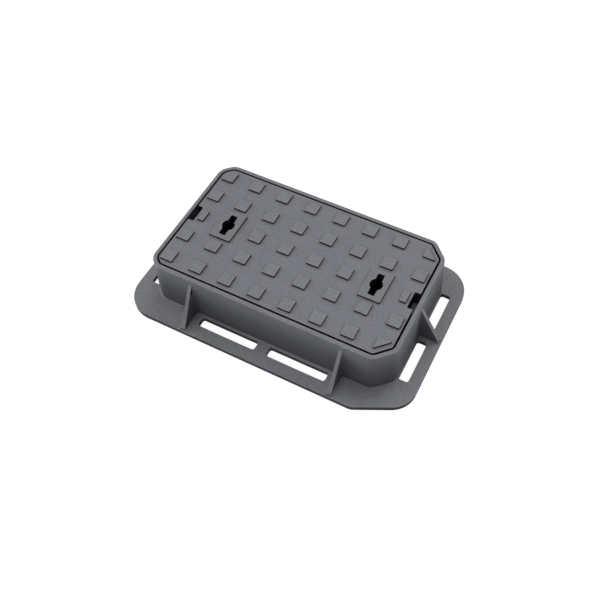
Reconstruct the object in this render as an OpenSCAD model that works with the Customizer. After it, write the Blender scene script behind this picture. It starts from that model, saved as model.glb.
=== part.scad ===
// Cast iron surface box: a base frame that is set in the ground over a valve, meter or
// hydrant, and the studded cover that lifts out of it.
// X runs along the long side, Y from front to back and Z up. The origin is in the middle
// of the outline of the base flange, on the face that it stands on.

/* [Cover] */
// Length of the cover
cover_l = 417; // [390:1:600]
// Width of the cover
cover_w = 231.5; // [222:0.5:400]
// Cut across each right-hand corner, along the side
right_cut = 23; // [14:0.5:30]
// Cut across the back left corner, along the side
back_left_cut = 13.5; // [12:0.5:30]
// Cut across the front left corner, along the side
front_left_cut = 9.5; // [9.5:0.5:30]
// Radius that blends the ends of the right-hand corner cuts
right_r = 8.5; // [4:0.5:14]
// Radius that blends the ends of the left-hand corner cuts
left_r = 13; // [4:0.5:14]
// Thickness of the tread plate
plate_t = 10; // [6:0.5:14]
// Width of the bearing skirt under the edge of the cover
skirt_w = 16; // [13:0.5:24]
// Depth of the cover from its tread face to its seat
cover_depth = 30; // [22:1:45]
// Thickness of the ribs under the cover
rib_t = 7; // [4:0.5:12]
// Gap left under the ribs, above the level of the seat
rib_lift = 3; // [1:0.5:8]

/* [Tread studs] */
// Side of each square stud at its foot
stud_side = 23; // [12:0.5:28]
// Height of the studs and of the keyway pads
stud_h = 3; // [1.5:0.5:5]
// Slope of the sides of the studs and pads, in from the foot to the top
stud_slope = 0.6; // [0.2:0.1:1.5]
// Number of studs along the cover
columns = 8; // [8:2:12]
// Number of studs across the cover
rows = 5; // [5:2:7]
// Distance from the outer studs to the ends of the cover
stud_end_gap = 3.8; // [2:0.1:20]
// Distance from the outer studs to the long sides of the cover
stud_side_gap = 7.2; // [2:0.1:14]
// Distance from the stud in each right-hand corner to the corner cut of the cover
right_margin = 7.8; // [0.5:0.1:12]
// Distance from the stud in the back left corner to the corner cut of the cover
back_left_margin = 2.5; // [0.5:0.1:12]
// Least distance from the stud in the front left corner to the corner cut of the cover
front_left_margin = 1; // [0.5:0.1:12]

/* [Keyways and notches] */
// Length of the raised pad round each keyway, along the cover
pad_l = 40; // [30:1:50]
// Width of the raised pad round each keyway, across the cover
pad_w = 61; // [52:1:64]
// Diameter of the round middle of the keyway
key_hole_d = 22; // [16:0.5:28]
// Width of the slot of the keyway
key_slot_w = 12; // [8:0.5:15]
// Length of the slot of the keyway
key_slot_l = 44; // [34:1:48]
// Radius in the corners of the keyway slot
key_slot_r = 1.5; // [0.5:0.25:3]
// Length of the lifting notch in each end of the cover
notch_l = 33; // [20:1:40]
// Depth of the lifting notch, in from the edge of the cover
notch_d = 10; // [6:0.5:11]
// Radius in the inner corners of the lifting notch
notch_r = 2; // [1:0.5:4]
// Distance from a lifting notch to the stud beside it
notch_margin = 4.5; // [2:0.5:8]

/* [Frame] */
// Height of the frame, from the ground face of the flange to the rim
frame_h = 97.5; // [80:0.5:200]
// Clearance all round between the cover and the frame
joint_gap = 3; // [1:0.5:5]
// Width of the rim round the cover
rim_w = 7.2; // [5:0.1:12]
// Radius on the outer edge of the rim
rim_round = 1.2; // [0.8:0.1:4]
// How far the wall leans outward from the rim to the flange
draft = 3.3; // [0.6:0.1:6]
// Overlap of the cover and its seat
seat_overlap = 18.5; // [12:0.5:24]
// Thickness of the seat ledge
seat_t = 9; // [6:0.5:16]
// Radius in the corners of the clear opening
opening_r = 8; // [4:1:20]
// Radius between the wall and the flange
foot_fillet = 3; // [2:0.5:8]

/* [Flange] */
// Thickness of the flange
flange_t = 10; // [6:0.5:14]
// Width of the flange in front of the wall
flange_front = 43; // [38:0.5:70]
// Width of the flange behind the wall
flange_back = 19.5; // [18:0.5:70]
// Width of the flange at each end
flange_side = 37.5; // [34:0.5:70]
// Radius of the rounded corners of the flange
flange_r = 52; // [30:1:60]
// Length of the slanted cut at the front right corner, along the front
slant_l = 83; // [70:1:110]
// Depth of the slanted cut at the front right corner, along the end
slant_w = 40.5; // [30:0.5:50]
// Radius where the slanted cut meets the end
slant_r = 44; // [30:1:50]
// Radius where the slanted cut meets the front
slant_blend_r = 24; // [10:1:40]

/* [Flange slots] */
// Distance from the foot of the wall to the slots of the long sides
long_slot_gap = 4; // [1:0.5:6]
// Distance from the foot of the wall to the slots of the ends
end_slot_gap = 1; // [1:0.5:6]
// Width of the slots at the front and the ends
slot_w = 17; // [12:0.5:22]
// Width of the slots at the back, where the flange is narrower
back_slot_w = 9; // [8:0.5:12]
// Radius in the corners of the slots
slot_r = 4; // [2:0.5:6]
// Web between the two slots of a long side
long_web = 22; // [16:1:40]
// Web between the two slots of an end
end_web = 23; // [12:1:30]
// Distance from a slot of a long side to the gusset beside it
slot_to_gusset = 14; // [8:0.5:30]
// Distance from the slots of the right end to the line of the long wall
right_slot_setback = 37; // [34:1:60]
// Distance from the slots of the left end to the line of the long wall
left_slot_setback = 20; // [18:1:60]

/* [Gussets] */
// Thickness of the gussets at their foot
gusset_t = 7.5; // [5:0.5:12]
// Thickness that the gussets lose from their foot to the level of the rim
gusset_taper = 1.5; // [0.5:0.5:4]
// Distance from each end of the wall to the gussets of the long sides
gusset_end_gap = 85; // [60:0.5:110]
// Distance from the rim down to the top of the gussets, where they meet the wall
gusset_drop = 13; // [8:0.5:30]
// Distance from the toe of a gusset to the edge of the flange
toe_gap = 2.5; // [2:0.5:8]
// Radius between the gussets and the flange and wall
gusset_fillet = 3; // [2:0.5:5]

/* [Hidden] */
$fn = 64;
iron = "#77797d";
eps = 0.5;
hull_sheet = 0.01;
hull_fn = 48;
rim_steps = 4;
fillet_steps = 4;

// How far the fillets beside the gussets reach into the faces that they join
fillet_bite = 0.08;

// How much a corner cut grows for each millimetre that its outline is moved out
cut_growth = 2 - sqrt(2);

// Levels
seat_z = frame_h - cover_depth;
plate_under_z = frame_h - plate_t;
gusset_top_z = frame_h - gusset_drop;

// Distances outward from the edge of the cover
wall_top_out = joint_gap + rim_w;
wall_foot_out = wall_top_out + draft;

// Lean of the wall, and of each side of a gusset, away from upright
wall_lean = atan(draft / (frame_h - rim_round - flange_t));
gusset_lean = atan(gusset_taper / 2 / (frame_h - flange_t));

// Half sizes of the wall at its foot, of the clear opening and of the flange
foot_x = cover_l / 2 + wall_foot_out;
foot_y = cover_w / 2 + wall_foot_out;
opening_l = cover_l - 2 * seat_overlap;
opening_w = cover_w - 2 * seat_overlap;
flange_x = foot_x + flange_side;
flange_y = foot_y + (flange_front + flange_back) / 2;

// The flange is wider at the front, so the box stands behind the middle of it
box_y = (flange_front - flange_back) / 2;

// Distances from one gusset or stud to the next
gusset_x = foot_x - gusset_end_gap;
pitch_x = (cover_l - 2 * stud_end_gap - stud_side) / (columns - 1);
pitch_y = (cover_w - 2 * stud_side_gap - stud_side) / (rows - 1);

// Keyways stand in the second column from each end, in the middle row
key_x = ((columns - 1) / 2 - 1) * pitch_x;
middle_row = (rows - 1) / 2;

function unit(v) = v / norm(v);
function half_angle(a, b, c) = acos(unit(a - b) * unit(c - b)) / 2;
function tangent_point(a, b, c, r) = b + unit(a - b) * r / tan(half_angle(a, b, c));
function round_centre(a, b, c, r) =
    b + unit(unit(a - b) + unit(c - b)) * r / sin(half_angle(a, b, c));

// A convex outline with true arcs: one corner radius for each corner point
module rounded_outline(corners, radii) {
    n = len(corners);
    polygon([
        for (i = [0 : n - 1])
            let (before = corners[(i + n - 1) % n], here = corners[i], after = corners[(i + 1) % n])
                each [
                    tangent_point(before, here, after, radii[i]),
                    tangent_point(after, here, before, radii[i])
                ]
    ]);
    for (i = [0 : n - 1])
        translate(round_centre(corners[(i + n - 1) % n], corners[i], corners[(i + 1) % n], radii[i]))
            circle(radii[i]);
}

module rounded_rectangle(length, width, radius) {
    rounded_outline(
        [[-length / 2, -width / 2], [length / 2, -width / 2], [length / 2, width / 2], [-length / 2, width / 2]],
        [radius, radius, radius, radius]
    );
}

// Corner points of the cover's outline moved out by a distance
function cover_corners(out) =
    let (
        x = cover_l / 2 + out,
        y = cover_w / 2 + out,
        right = right_cut + out * cut_growth,
        back_left = back_left_cut + out * cut_growth,
        front_left = front_left_cut + out * cut_growth
    ) [
        [-x + front_left, -y], [x - right, -y], [x, -y + right], [x, y - right],
        [x - right, y], [-x + back_left, y], [-x, y - back_left], [-x, -y + front_left]
    ];

module cover_outline(out) {
    corners = cover_corners(out);
    rounded_outline(corners, [for (corner = corners) (corner.x > 0 ? right_r : left_r) + out]);
}

// A thin sheet of the outline, at one level of a hull
module level(z, out) {
    translate([0, 0, z])
        linear_extrude(hull_sheet)
            cover_outline(out, $fn = hull_fn);
}

// Raised figure with sloping sides, from a list of the corners of its foot
module raised(corners) {
    low = [min([for (p = corners) p.x]), min([for (p = corners) p.y])];
    high = [max([for (p = corners) p.x]), max([for (p = corners) p.y])];
    middle = (low + high) / 2;
    shrink = [for (k = [0, 1]) 1 - 2 * stud_slope / (high[k] - low[k])];
    translate([middle.x, middle.y, frame_h - eps])
        linear_extrude(stud_h + eps, scale = shrink, slices = 1, $fn = 0)
            polygon([for (p = corners) p - middle]);
}

// Corners of a stud between two X and two Y limits. A stud that comes too near a corner cut
// loses its outer corner, and is left with five sides or with three
function stud_corners(x0, x1, y0, y1, sx, sy, reach) =
    let (
        inner = [sx > 0 ? x0 : x1, sy > 0 ? y0 : y1],
        outer = [sx > 0 ? x1 : x0, sy > 0 ? y1 : y0],
        over = abs(outer.x) + abs(outer.y) - reach,
        side = min(x1 - x0, y1 - y0),
        leg = x1 - x0 + y1 - y0 - over
    )
    over <= 0.1
        ? [[x0, y0], [x1, y0], [x1, y1], [x0, y1]]
        : over < side - 0.1
            ? [
                inner, [outer.x, inner.y], [outer.x, outer.y - sy * over],
                [outer.x - sx * over, outer.y], [inner.x, outer.y]
            ]
            : [inner, [inner.x + sx * leg, inner.y], [inner.x, inner.y + sy * leg]];

// Distance along the diagonal, in x plus y, to which a stud may reach in its quarter
function stud_reach(sx, sy) =
    let (
        cut = sx > 0 ? right_cut : sy > 0 ? back_left_cut : front_left_cut,
        margin = sx > 0 ? right_margin : sy > 0 ? back_left_margin : front_left_margin
    )
    cover_l / 2 + cover_w / 2 - cut - margin * sqrt(2);

module stud(column, row) {
    x = (column - (columns - 1) / 2) * pitch_x;
    y = (row - middle_row) * pitch_y;
    half = stud_side / 2;
    beside_notch = row == middle_row && (column == 0 || column == columns - 1);
    limit = cover_l / 2 - notch_d - notch_margin;
    x0 = beside_notch ? max(x - half, -limit) : x - half;
    x1 = beside_notch ? min(x + half, limit) : x + half;
    sx = x > 0 ? 1 : -1;
    sy = y > 0 ? 1 : -1;
    raised(stud_corners(x0, x1, y - half, y + half, sx, sy, stud_reach(sx, sy)));
}

module studs() {
    for (column = [0 : columns - 1], row = [0 : rows - 1])
        if (!(row == middle_row && (column == 1 || column == columns - 2)))
            stud(column, row);
}

module keyway_pad() {
    raised([[-pad_l / 2, -pad_w / 2], [pad_l / 2, -pad_w / 2], [pad_l / 2, pad_w / 2], [-pad_l / 2, pad_w / 2]]);
}

// Round hole with a slot through it, which takes the lifting key
module keyway() {
    translate([0, 0, seat_z]) {
        cylinder(h = cover_depth + stud_h + eps, d = key_hole_d);
        linear_extrude(cover_depth + stud_h + eps)
            rounded_rectangle(key_slot_w, key_slot_l, key_slot_r);
    }
}

module notch() {
    translate([cover_l / 2, 0, seat_z - eps])
        linear_extrude(cover_depth + stud_h + 2 * eps)
            rounded_rectangle(2 * notch_d, notch_l, notch_r);
}

// Ribs under the tread plate: they keep clear of the keyways and run into the skirt
module ribs() {
    rib_h = plate_under_z - seat_z - rib_lift + eps;
    rib_y = pad_w / 2 + rib_t;
    rib_z = seat_z + rib_lift;
    inner_l = cover_l - 2 * skirt_w + 2 * eps;
    inner_w = cover_w - 2 * skirt_w + 2 * eps;
    for (side = [-1, 1])
        translate([-inner_l / 2, side * rib_y - rib_t / 2, rib_z])
            cube([inner_l, rib_t, rib_h]);
    for (x = [-1.5 * pitch_x, 0, 1.5 * pitch_x])
        translate([x - rib_t / 2, -inner_w / 2, rib_z])
            cube([rib_t, inner_w, rib_h]);
}

module cover_body() {
    difference() {
        translate([0, 0, seat_z])
            linear_extrude(cover_depth)
                cover_outline(0);
        translate([0, 0, seat_z - eps])
            linear_extrude(cover_depth - plate_t + eps)
                rounded_rectangle(cover_l - 2 * skirt_w, cover_w - 2 * skirt_w, opening_r);
    }
    ribs();
}

module cover() {
    color(iron)
        translate([0, box_y, 0])
            difference() {
                union() {
                    cover_body();
                    studs();
                    for (side = [-1, 1])
                        translate([side * key_x, 0, 0])
                            keyway_pad();
                }
                for (side = [-1, 1])
                    translate([side * key_x, 0, 0])
                        keyway();
                notch();
                mirror([1, 0, 0])
                    notch();
            }
}

// Outer form of the upstand, with its lean and the round on its rim
module upstand() {
    hull() {
        level(0, wall_foot_out);
        level(flange_t, wall_foot_out);
        for (step = [0 : rim_steps])
            let (angle = 90 * step / rim_steps)
                level(frame_h - hull_sheet - rim_round * (1 - sin(angle)),
                    wall_top_out - rim_round * (1 - cos(angle)));
    }
}

// One level of the hollow curve between the wall and the flange
module fillet_level(angle) {
    level(
        flange_t + foot_fillet * (1 - sin(angle)),
        wall_foot_out + foot_fillet * (1 - cos(angle))
    );
}

module wall_fillet() {
    for (step = [1 : fillet_steps])
        hull() {
            fillet_level(90 * step / fillet_steps);
            fillet_level(90 * (step - 1) / fillet_steps);
        }
}

module flange() {
    linear_extrude(flange_t)
        rounded_outline(
            [
                [-flange_x, -flange_y], [flange_x - slant_l, -flange_y], [flange_x, -flange_y + slant_w],
                [flange_x, flange_y], [-flange_x, flange_y]
            ],
            [flange_r, slant_blend_r, slant_r, flange_r, flange_r]
        );
}

module slot(x0, x1, y0, y1) {
    translate([(x0 + x1) / 2, (y0 + y1) / 2, -eps])
        linear_extrude(flange_t + foot_fillet + 2 * eps)
            rounded_rectangle(x1 - x0, y1 - y0, slot_r);
}

module slots() {
    long_end = gusset_x - gusset_t / 2 - slot_to_gusset;
    near_y = foot_y + long_slot_gap;
    near_x = foot_x + end_slot_gap;
    right_end = foot_y - right_slot_setback;
    left_end = foot_y - left_slot_setback;
    for (side = [0, 1])
        mirror([side, 0, 0]) {
            slot(long_web / 2, long_end, -near_y - slot_w, -near_y);
            slot(long_web / 2, long_end, near_y, near_y + back_slot_w);
        }
    for (side = [0, 1])
        mirror([0, side, 0]) {
            slot(near_x, near_x + slot_w, end_web / 2, right_end);
            slot(-near_x - slot_w, -near_x, end_web / 2, left_end);
        }
}

// Everything above a straight slope, from a level on the face of the wall down to a toe
module above_slope(depth, top, half_width) {
    inside = draft + rim_w / 2;
    wall_x = -(top - flange_t) * tan(wall_lean);
    translate([0, -half_width, 0])
        rotate([90, 0, 0])
            mirror([0, 0, 1])
                linear_extrude(2 * half_width)
                    polygon([
                        [depth, flange_t],
                        [wall_x, top],
                        [-inside - eps, top + wall_x + inside + eps],
                        [-inside - eps, frame_h + 2 * eps],
                        [depth + eps, frame_h + 2 * eps],
                        [depth + eps, flange_t]
                    ]);
}

// Fillet bar along Z in the corner between the planes of X and Y
module fillet_bar(length) {
    edge = gusset_fillet - fillet_bite;
    difference() {
        translate([-gusset_fillet, -gusset_fillet, 0])
            cube([gusset_fillet + edge, gusset_fillet + edge, length]);
        translate([edge, edge, -eps])
            cylinder(h = length + 2 * eps, r = gusset_fillet);
    }
}

// Fillets beside a gusset, along the flange and up the wall. They end below its slope
module gusset_fillets(depth) {
    difference() {
        for (side = [0, 1])
            mirror([0, side, 0])
                translate([0, gusset_t / 2, flange_t]) {
                    rotate([90, 0, 90])
                        fillet_bar(depth);
                    rotate([gusset_lean, -wall_lean, 0])
                        fillet_bar(gusset_top_z - flange_t);
                }
        above_slope(depth - gusset_fillet, gusset_top_z - 2 * gusset_fillet, gusset_t / 2 + 2 * gusset_fillet);
    }
}

// One gusset that runs out along X from the wall at the origin. Its sides lean in as they
// rise, and its top follows a straight slope
module gusset(reach) {
    depth = reach - toe_gap;
    inside = draft + rim_w / 2;
    difference() {
        translate([-inside, -gusset_t / 2, 0])
            cube([inside + depth, gusset_t, frame_h]);
        for (side = [0, 1])
            mirror([0, side, 0])
                translate([-inside - eps, gusset_t / 2, flange_t])
                    rotate([gusset_lean, 0, 0])
                        cube([inside + depth + 2 * eps, gusset_t, frame_h]);
        above_slope(depth, gusset_top_z, gusset_t);
    }
    gusset_fillets(depth);
}

module gussets() {
    for (side = [-1, 1]) {
        translate([side * gusset_x, -foot_y, 0])
            rotate([0, 0, -90])
                gusset(flange_front);
        translate([side * gusset_x, foot_y, 0])
            rotate([0, 0, 90])
                gusset(flange_back);
    }
    translate([foot_x, 0, 0])
        gusset(flange_side);
    translate([-foot_x, 0, 0])
        rotate([0, 0, 180])
            gusset(flange_side);
}

// The hollow of the frame: recess of the cover, clear opening and chamber below the seat
module frame_hollow() {
    translate([0, 0, seat_z])
        linear_extrude(cover_depth + eps)
            cover_outline(joint_gap);
    translate([0, 0, -eps])
        linear_extrude(frame_h)
            rounded_rectangle(opening_l, opening_w, opening_r);
    translate([0, 0, -eps])
        linear_extrude(seat_z - seat_t + eps)
            cover_outline(joint_gap);
}

module frame() {
    color(iron)
        difference() {
            union() {
                flange();
                translate([0, box_y, 0]) {
                    upstand();
                    wall_fillet();
                    gussets();
                }
            }
            translate([0, box_y, 0]) {
                frame_hollow();
                slots();
            }
        }
}

frame();
cover();
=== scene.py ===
"""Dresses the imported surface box: two castings, a frame and the cover that rests in it."""

import math

import bmesh
import bpy
from mathutils import Matrix, Vector


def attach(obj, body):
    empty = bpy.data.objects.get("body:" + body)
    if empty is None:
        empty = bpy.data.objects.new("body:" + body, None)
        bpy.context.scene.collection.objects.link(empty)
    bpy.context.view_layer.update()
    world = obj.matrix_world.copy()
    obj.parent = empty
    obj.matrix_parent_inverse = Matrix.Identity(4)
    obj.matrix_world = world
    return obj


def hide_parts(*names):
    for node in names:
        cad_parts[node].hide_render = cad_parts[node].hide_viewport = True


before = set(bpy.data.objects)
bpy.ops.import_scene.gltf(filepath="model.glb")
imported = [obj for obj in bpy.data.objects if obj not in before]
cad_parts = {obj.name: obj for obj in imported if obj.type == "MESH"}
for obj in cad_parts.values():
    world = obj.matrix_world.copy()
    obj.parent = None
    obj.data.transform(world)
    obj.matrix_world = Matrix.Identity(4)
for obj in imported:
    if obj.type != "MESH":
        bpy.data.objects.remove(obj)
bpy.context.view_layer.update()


def node_box(node, decimals=6):
    """The lowest and the highest corner of a CAD node, to a thousandth of a millimetre."""
    places = [v.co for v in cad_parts[node].data.vertices]
    return [[round(pick(p[k] for p in places), decimals) for k in range(3)] for pick in (min, max)]


# Levels and places of the part, in metres
COVER_LOW, COVER_HIGH = node_box("cover")
FRAME_H = node_box("frame")[1][2]
SEAT_Z = COVER_LOW[2]
BOX_Y = (COVER_LOW[1] + COVER_HIGH[1]) / 2
FLANGE_T = 0.010
FILLET_TOP_Z = FLANGE_T + 0.0045
GUSSET_TOP_Z = FRAME_H - 0.013
WALL_MIDDLE_Z = 0.052
CHAMBER_HALF_L = 0.213
CHAMBER_HALF_W = 0.120
PAD_X = 0.1379
PAD_HALF_W = 0.0202
PAD_HALF_L = 0.0307

# Planes that cross every hole of a casting
FRAME_CUTS_X = (-0.065, 0, 0.065)
FRAME_CUTS_Y = (BOX_Y - 0.05, BOX_Y + 0.05)
COVER_CUTS_X = (-PAD_X, PAD_X)

# How far in from an edge its rounding starts, and how sharp and long an edge has to be to get one
GROUND_ROUND = 0.0008
FRAME_ROUND = 0.0007
COVER_ROUND = 0.0003
ROUND_SEGMENTS = 3
SHARP = math.radians(32)
SHORTEST_EDGE = 0.0012
SHORTEST_UPPER_EDGE = 0.012

# Margins beside a level, and the rise from which an edge of a stud counts as upright
FLANGE_GAP = 0.000005
GROUND_GAP = 0.0005
SEAT_GAP = 0.001
STUD_GAP = 0.0001
STUD_CORNER = 0.001

# Points nearer than this merge, and so do faces that meet at less than this angle
SAME_PLACE = 2e-6
FLAT = math.radians(0.3)

# How strongly the larger faces lead the smoothed normals
NORMAL_WEIGHT = 80

# Colour, roughness and gloss of the iron
IRON = (0.158, 0.1635, 0.183, 1)
ROUGHNESS = (0.52, 0.68)
GLOSS = 0.5
MATT_GLOSS = 0.05

# Noise in the sand-cast skin as scale, detail and roughness, the part of its range that shows,
# and how far it lightens and darkens
GRAIN = (750, 2.0, 0.65)
MOTTLE = (260, 3.0, 0.6)
CLOUD = (22, 4.0, 0.55)
GRAIN_SPAN = (0.25, 0.75)
MOTTLE_SPAN = (0.3, 0.7)
CLOUD_SPAN = (0.25, 0.75)
GRAIN_DEPTH = 0.34
MOTTLE_DEPTH = 0.09
CLOUD_DEPTH = 0.045

# Bumps of the skin as strength and distance
GRAIN_BUMP = (0.35, 0.0003)
MOTTLE_BUMP = (0.25, 0.0008)

# Painted shade in hollows and painted highlight on raised edges: how far around they are felt,
# with how many samples, the part of the openness that shows, and the shade at its low end
HOLLOW_REACH = 0.006
HOLLOW_SAMPLES = 8
HOLLOW_SPAN = (0.35, 0.95)
FRAME_HOLLOW_SHADE = 0.75
COVER_HOLLOW_SHADE = 0.30
EDGE_REACH = 0.0015
EDGE_SAMPLES = 6
EDGE_SPAN = (0.50, 0.95)
EDGE_SHADE = 1.35

# Upward parts of the normal between which a face counts as steep, or as tilted
STEEP = (0.75, 0.35)
TILTED_FROM = (0.20, 0.38)
TILTED_TO = (0.62, 0.85)

# How dark or light parts of the castings are beside the rest: painted shade and light, save for worn stud
# tops and the plate
WALL_TOP_SHADE = 1.50
WALL_MIDDLE_SHADE = 0.78
WALL_FOOT_SHADE = 0.80
FLANGE_EDGE_SHADE = 0.60
SLOPE_SHADE = 1.80
RECESS_SHADE = 0.20
STUD_SIDE_SHADE = 0.05
STUD_TOP_SHADE = 1.08
PLATE_SHADE = 0.97

# Heights over which a shade comes in, and how much a recess face has to look towards the middle
LEVEL_STEP = 0.001
PLATE_STEP = 0.0006
STUD_TOP_STEP = (FRAME_H + 0.0022, FRAME_H + 0.0028)
INWARD = (-0.05, -0.04)

# Soft suns: name, strength, azimuth from +X towards +Y, elevation and width in degrees
SUNS = (
    ("top_light", 1.22, 0, 89.9, 45),
    ("back_light", 1.00, 88, 45, 45),
    ("left_light", 2.00, 184, 18, 45),
    ("right_light", 0.84, 38, 12, 40),
    ("front_light", 0.36, 250, 36, 45),
)

# The sky's own light, and the white that the camera sees in its place
SKY = (0.97, 0.985, 1.0, 1)
SKY_STRENGTH = 0.07
WHITE = (1, 1, 1, 1)

# The floor: its size and greys, its painted shade inside the box, and the glow that the camera sees on it
FLOOR_HALF = 6.0
FLOOR_GREY = (0.5, 0.5, 0.5, 1)
UNDER_BOX_PAINTED_SHADE = (0.02, 0.02, 0.021, 1)
SEEN_GREY = (0.25, 0.25, 0.25, 1)
FLOOR_GLOW = 0.88


# Building blocks of the materials

def empty_tree(owner):
    """The cleared node tree of a material or a world."""
    owner.use_nodes = True
    owner.node_tree.nodes.clear()
    return owner.node_tree


def add_node(tree, kind, inputs=None, **settings):
    """A new shader node, with its settings and with its inputs set or joined to outputs."""
    node = tree.nodes.new("ShaderNode" + kind)
    for key, value in settings.items():
        setattr(node, key, value)
    for key, value in (inputs or {}).items():
        if isinstance(value, bpy.types.NodeSocket):
            tree.links.new(value, node.inputs[key])
        else:
            node.inputs[key].default_value = value
    return node


def calculate(tree, kind, *values):
    """The output of one step of arithmetic on numbers and outputs."""
    return add_node(tree, "Math", dict(enumerate(values)), operation=kind).outputs[0]


def times(tree, first, *others):
    """The product of numbers and outputs."""
    for other in others:
        first = calculate(tree, "MULTIPLY", first, other)
    return first


def ranged(tree, value, span, result, smooth=False):
    """Turns one span of a value into another, which holds beyond the ends."""
    inputs = {"Value": value, "From Min": span[0], "From Max": span[1], "To Min": result[0],
              "To Max": result[1]}
    kind = "SMOOTHSTEP" if smooth else "LINEAR"
    return add_node(tree, "MapRange", inputs, interpolation_type=kind, clamp=True).outputs["Result"]


def masked(tree, shade, where, factor):
    """The shade times a factor, as far as a mask from 0 to 1 lets it through."""
    extra = calculate(tree, "SUBTRACT", factor, 1.0)
    return times(tree, shade, calculate(tree, "MULTIPLY_ADD", extra, where, 1.0))


def noise(tree, coord, kind):
    scale, detail, roughness = kind
    inputs = {"Vector": coord, "Scale": scale, "Detail": detail, "Roughness": roughness}
    return add_node(tree, "TexNoise", inputs).outputs["Fac"]


def around_one(tree, value, span, depth, smooth=False):
    """A factor that goes as far below 1 as above it."""
    return ranged(tree, value, span, (1 - depth, 1 + depth), smooth)


def openness(tree, reach, samples, inside=False):
    """1 where nothing is within reach, and less in hollows, or inside of raised edges."""
    inputs = {"Distance": reach}
    return add_node(tree, "AmbientOcclusion", inputs, samples=samples, inside=inside).outputs["AO"]


def off_middle(tree, place):
    """How far a place lies before or behind the middle of the box."""
    return calculate(tree, "ABSOLUTE", calculate(tree, "SUBTRACT", place.outputs["Y"], BOX_Y))


def bump(tree, height, kind, normal=None):
    strength, distance = kind
    inputs = {"Strength": strength, "Distance": distance, "Height": height}
    if normal is not None:
        inputs["Normal"] = normal
    return add_node(tree, "Bump", inputs).outputs[0]


# Camera and light

def make_camera():
    """The photograph's viewpoint: front right, about 55 degrees above the horizon."""
    right = Vector((0.89166, 0.45254, -0.01186))
    down = Vector((0.36375, -0.73182, -0.57630))
    ahead = Vector((-0.26948, 0.50955, -0.81715))
    turn = Matrix((right, -down, -ahead)).transposed().to_4x4()
    place = Vector((0.40292, -0.65258, 1.12313))
    data = bpy.data.cameras.new("camera")
    data.sensor_fit = "HORIZONTAL"
    data.sensor_width = 36.0
    data.lens = 46.734
    data.shift_x = -0.04732
    data.shift_y = -0.03282
    data.clip_start = 0.05
    data.clip_end = 20.0
    camera = bpy.data.objects.new("camera", data)
    bpy.context.scene.collection.objects.link(camera)
    camera.matrix_world = Matrix.Translation(place) @ turn
    bpy.context.scene.camera = camera


def add_sun(name, strength, azimuth, elevation, width):
    """A distant light that shines from a direction onto the object."""
    data = bpy.data.lights.new(name, "SUN")
    data.energy = strength
    data.angle = math.radians(width)
    sun = bpy.data.objects.new(name, data)
    bpy.context.scene.collection.objects.link(sun)
    across, up = math.radians(azimuth), math.radians(elevation)
    place = Vector((math.cos(up) * math.cos(across), math.cos(up) * math.sin(across), math.sin(up)))
    sun.location = place
    sun.rotation_mode = "QUATERNION"
    sun.rotation_quaternion = (-place).to_track_quat("-Z", "Y")


def make_sky():
    """A faint sky that the camera sees as white."""
    world = bpy.data.worlds.new("studio")
    bpy.context.scene.world = world
    tree = empty_tree(world)
    light = add_node(tree, "Background", {"Color": SKY, "Strength": SKY_STRENGTH})
    shown = add_node(tree, "Background", {"Color": WHITE, "Strength": 1.0})
    seen = add_node(tree, "LightPath").outputs["Is Camera Ray"]
    mix = add_node(tree, "MixShader", {"Fac": seen, 1: light.outputs[0], 2: shown.outputs[0]})
    add_node(tree, "OutputWorld", {"Surface": mix.outputs[0]})


def floor_material():
    """Pale with a glow that only the camera sees, and painted dark without one inside the box, as painted
    shade.
    """
    mat = bpy.data.materials.new("floor_white")
    tree = empty_tree(mat)
    place = add_node(tree, "SeparateXYZ", {0: add_node(tree, "TexCoord").outputs["Object"]})
    off_centre = calculate(tree, "ABSOLUTE", place.outputs["X"])
    beside_x = calculate(tree, "GREATER_THAN", off_centre, CHAMBER_HALF_L)
    beside_y = calculate(tree, "GREATER_THAN", off_middle(tree, place), CHAMBER_HALF_W)
    outside = calculate(tree, "MAXIMUM", beside_x, beside_y)

    # Inside the box the floor is painted near black: painted shade where the box's shade falls
    grey = add_node(tree, "Mix", {"Factor": outside, "A": UNDER_BOX_PAINTED_SHADE, "B": FLOOR_GREY}, data_type="RGBA")
    pale = add_node(tree, "BsdfDiffuse", {"Color": grey.outputs["Result"]})
    dim = add_node(tree, "BsdfDiffuse", {"Color": SEEN_GREY})
    glow = add_node(tree, "Emission", {"Color": WHITE, "Strength": FLOOR_GLOW})
    lit = add_node(tree, "AddShader", {0: dim.outputs[0], 1: glow.outputs[0]})

    seen = times(tree, add_node(tree, "LightPath").outputs["Is Camera Ray"], outside)
    mix = add_node(tree, "MixShader", {"Fac": seen, 1: pale.outputs[0], 2: lit.outputs[0]})
    add_node(tree, "OutputMaterial", {"Surface": mix.outputs[0]})
    return mat


def make_floor():
    """A pale floor that glows just enough to come out white, but not inside the box, which is painted dark
    as painted shade.
    """
    bm = bmesh.new()
    bmesh.ops.create_grid(bm, x_segments=1, y_segments=1, size=FLOOR_HALF)
    mesh = bpy.data.meshes.new("floor")
    bm.to_mesh(mesh)
    bm.free()
    mesh.materials.append(floor_material())
    floor = bpy.data.objects.new("floor", mesh)
    bpy.context.scene.collection.objects.link(floor)


# Cast iron

def skin_tone_and_painted_light(tree, grain, mottle, cloud, darkest):
    """Lights and darks of a sand-cast skin, with painted shade in its hollows and painted highlight on
    raised edges.
    """
    # Painted shade in hollows and painted highlight on raised edges, from how open each place is
    hollow = openness(tree, HOLLOW_REACH, HOLLOW_SAMPLES)
    edge = openness(tree, EDGE_REACH, EDGE_SAMPLES, inside=True)
    return times(tree, around_one(tree, grain, GRAIN_SPAN, GRAIN_DEPTH),
                 around_one(tree, mottle, MOTTLE_SPAN, MOTTLE_DEPTH, smooth=True),
                 around_one(tree, cloud, CLOUD_SPAN, CLOUD_DEPTH, smooth=True),
                 ranged(tree, hollow, HOLLOW_SPAN, (darkest, 1.0)),
                 ranged(tree, edge, EDGE_SPAN, (EDGE_SHADE, 1.0)))


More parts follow.
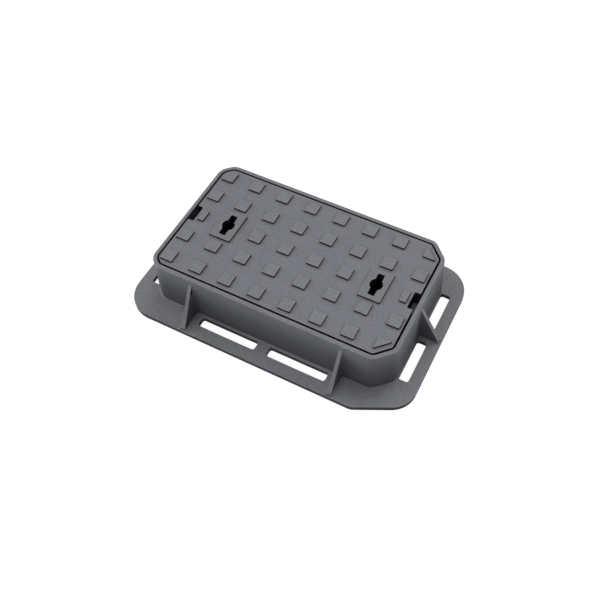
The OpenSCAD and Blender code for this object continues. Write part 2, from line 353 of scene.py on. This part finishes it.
def frame_painted_light_and_shade(tree, shade, place, facing, steep):
    """The frame's painted light and shade, and a mask of what is matt."""
    z = place.outputs["Z"]
    # Painted shade and light: walls darker towards their foot and lighter near the top, the flange edge
    # painted dark
    foot = ranged(tree, z, (FLANGE_T, WALL_MIDDLE_Z), (WALL_FOOT_SHADE, 1.0))
    top = ranged(tree, z, (WALL_MIDDLE_Z, FRAME_H), (WALL_MIDDLE_SHADE, WALL_TOP_SHADE))
    shade = masked(tree, shade, steep, times(tree, foot, top))
    at_flange = ranged(tree, z, (FLANGE_T - LEVEL_STEP, FLANGE_T), (1.0, 0.0), smooth=True)
    shade = masked(tree, shade, times(tree, steep, at_flange), FLANGE_EDGE_SHADE)

    # Painted highlight: the sloping tops of the gussets, the fillets and the rounded edges come out
    # lighter
    tilted = times(tree, ranged(tree, facing.outputs["Z"], TILTED_FROM, (0.0, 1.0), smooth=True),
                   ranged(tree, facing.outputs["Z"], TILTED_TO, (1.0, 0.0), smooth=True))
    shade = masked(tree, shade, tilted, SLOPE_SHADE)

    # Painted shade: the recess of the cover, whose faces look inwards, is darkened
    along = times(tree, place.outputs["X"], facing.outputs["X"])
    behind = calculate(tree, "SUBTRACT", place.outputs["Y"], BOX_Y)
    outward = calculate(tree, "ADD", along, times(tree, behind, facing.outputs["Y"]))
    inward = ranged(tree, outward, INWARD, (1.0, 0.0), smooth=True)
    high = ranged(tree, z, (SEAT_Z - LEVEL_STEP, SEAT_Z), (0.0, 1.0), smooth=True)
    recess = times(tree, inward, high)
    return masked(tree, shade, recess, RECESS_SHADE), recess


def cover_wear_and_painted_shade(tree, shade, place, steep):
    """The cover's worn stud tops and painted shade on its sides, and a mask of what is matt."""
    z = place.outputs["Z"]
    # Feet rub the tops of the studs a little lighter than the plate and the keyway pads
    from_end = calculate(tree, "SUBTRACT", calculate(tree, "ABSOLUTE", place.outputs["X"]), PAD_X)
    beside = calculate(tree, "GREATER_THAN", calculate(tree, "ABSOLUTE", from_end), PAD_HALF_W)
    beyond = calculate(tree, "GREATER_THAN", off_middle(tree, place), PAD_HALF_L)
    raised = ranged(tree, z, STUD_TOP_STEP, (0.0, 1.0), smooth=True)
    stud_top = times(tree, raised, calculate(tree, "MAXIMUM", beside, beyond))
    shade = masked(tree, times(tree, shade, PLATE_SHADE), stud_top, STUD_TOP_SHADE)

    # Painted shade: the sides of the studs, and the sides of the cover in its recess, are darkened
    high = ranged(tree, z, (FRAME_H - PLATE_STEP, FRAME_H), (0.0, 1.0), smooth=True)
    shade = masked(tree, shade, times(tree, steep, high), STUD_SIDE_SHADE)
    below = calculate(tree, "SUBTRACT", 1.0, high)
    return masked(tree, shade, times(tree, steep, below), RECESS_SHADE), steep


def cast_iron(name, is_frame):
    """Dull grey iron with a sand-cast skin, painted shade in hollows and painted highlight on raised
    edges.
    """
    mat = bpy.data.materials.new(name)
    tree = empty_tree(mat)
    coord = add_node(tree, "TexCoord").outputs["Object"]
    place = add_node(tree, "SeparateXYZ", {0: coord})
    facing = add_node(tree, "SeparateXYZ", {0: add_node(tree, "NewGeometry").outputs["True Normal"]})
    steep = ranged(tree, facing.outputs["Z"], STEEP, (0.0, 1.0), smooth=True)

    grain = noise(tree, coord, GRAIN)
    mottle = noise(tree, coord, MOTTLE)
    darkest = FRAME_HOLLOW_SHADE if is_frame else COVER_HOLLOW_SHADE
    shade = skin_tone_and_painted_light(tree, grain, mottle, noise(tree, coord, CLOUD), darkest)
    if is_frame:
        shade, matt = frame_painted_light_and_shade(tree, shade, place, facing, steep)
    else:
        shade, matt = cover_wear_and_painted_shade(tree, shade, place, steep)

    grey = add_node(tree, "CombineColor", {0: shade, 1: shade, 2: shade}).outputs[0]
    colour = add_node(tree, "Mix", {"Factor": 1.0, "A": IRON, "B": grey}, data_type="RGBA",
                      blend_type="MULTIPLY")
    skin = add_node(tree, "BsdfPrincipled", {
        "Base Color": colour.outputs["Result"],
        "Metallic": 0.0,
        "Roughness": ranged(tree, mottle, MOTTLE_SPAN, ROUGHNESS, smooth=True),
        "Specular IOR Level": ranged(tree, matt, (0.0, 1.0), (GLOSS, MATT_GLOSS)),
        "Normal": bump(tree, mottle, MOTTLE_BUMP, bump(tree, grain, GRAIN_BUMP)),
    })
    add_node(tree, "OutputMaterial", {"Surface": skin.outputs[0]})
    return mat


# Castings

def frame_round(edge):
    """How much an edge of the frame is rounded."""
    z = (edge.verts[0].co.z + edge.verts[1].co.z) / 2
    # The fillets along the foot of the wall and down the gussets have narrow facets
    on_fillet = FLANGE_T + FLANGE_GAP < z < FILLET_TOP_Z
    on_gusset = SEAT_Z + SEAT_GAP < z < GUSSET_TOP_Z and edge.calc_length() < SHORTEST_UPPER_EDGE
    if z < GROUND_GAP:
        return GROUND_ROUND
    if edge.calc_length() < SHORTEST_EDGE or on_fillet or on_gusset:
        return 0.0
    return FRAME_ROUND


def cover_round(edge):
    """How much an edge of the cover is rounded."""
    low, high = sorted(v.co.z for v in edge.verts)
    stud_corner = low > FRAME_H - STUD_GAP and high - low > STUD_CORNER
    if edge.calc_length() < SHORTEST_EDGE or stud_corner:
        return 0.0
    return COVER_ROUND


def upright_planes(xs, ys=()):
    """Planes across X and across Y, each as a point and a direction."""
    return [((x, 0, 0), (1, 0, 0)) for x in xs] + [((0, y, 0), (0, 1, 0)) for y in ys]


def cut_through(bm, planes):
    """Cuts the mesh along planes that cross every hole, so that no flat face has a hole in it."""
    for place, direction in planes:
        geom = bm.verts[:] + bm.edges[:] + bm.faces[:]
        cut = bmesh.ops.bisect_plane(bm, geom=geom, dist=SAME_PLACE / 2, plane_co=place,
                                     plane_no=direction)
        for part in cut["geom_cut"]:
            if isinstance(part, bmesh.types.BMEdge):
                part.seam = True


def weigh_edges(bm, round_of):
    """Weighs the outer edges for the bevel, and tells the widest round."""
    weight = bm.edges.layers.float.new("bevel_weight_edge")
    rounds = {}
    for edge in bm.edges:
        if len(edge.link_faces) == 2 and edge.calc_face_angle_signed(0.0) >= SHARP:
            rounds[edge] = round_of(edge)
    widest = max(rounds.values())
    for edge, width in rounds.items():
        edge[weight] = width / widest
    return widest


def rounded_copy(node, round_of, planes, mat):
    """A copy of a CAD node's mesh with its sharp edges rounded as a mould leaves them."""
    name = node + "_casting"
    bm = bmesh.new()
    bm.from_mesh(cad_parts[node].data)
    bmesh.ops.remove_doubles(bm, verts=bm.verts, dist=SAME_PLACE)
    cut_through(bm, planes)
    bmesh.ops.dissolve_limit(bm, angle_limit=FLAT, verts=bm.verts, edges=bm.edges,
                             delimit={"SEAM"})
    bm.normal_update()
    widest = weigh_edges(bm, round_of)
    mesh = bpy.data.meshes.new(name)
    bm.to_mesh(mesh)
    bm.free()
    for face in mesh.polygons:
        face.use_smooth = True
    mesh.materials.append(mat)

    piece = bpy.data.objects.new(name, mesh)
    bpy.context.scene.collection.objects.link(piece)
    bevel = piece.modifiers.new("round", "BEVEL")
    bevel.limit_method = "WEIGHT"
    bevel.width = widest
    bevel.segments = ROUND_SEGMENTS
    bevel.use_clamp_overlap = False
    bevel.loop_slide = True
    bevel.miter_outer = "MITER_SHARP"
    normals = piece.modifiers.new("normals", "WEIGHTED_NORMAL")
    normals.keep_sharp = False
    normals.weight = NORMAL_WEIGHT
    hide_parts(node)
    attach(piece, "root")


make_camera()
for sun in SUNS:
    add_sun(*sun)
make_sky()
make_floor()
rounded_copy("frame", frame_round, upright_planes(FRAME_CUTS_X, FRAME_CUTS_Y),
             cast_iron("cast_iron_frame", is_frame=True))
rounded_copy("cover", cover_round, upright_planes(COVER_CUTS_X),
             cast_iron("cast_iron_cover", is_frame=False))

scene = bpy.context.scene
scene.view_settings.view_transform = "Standard"
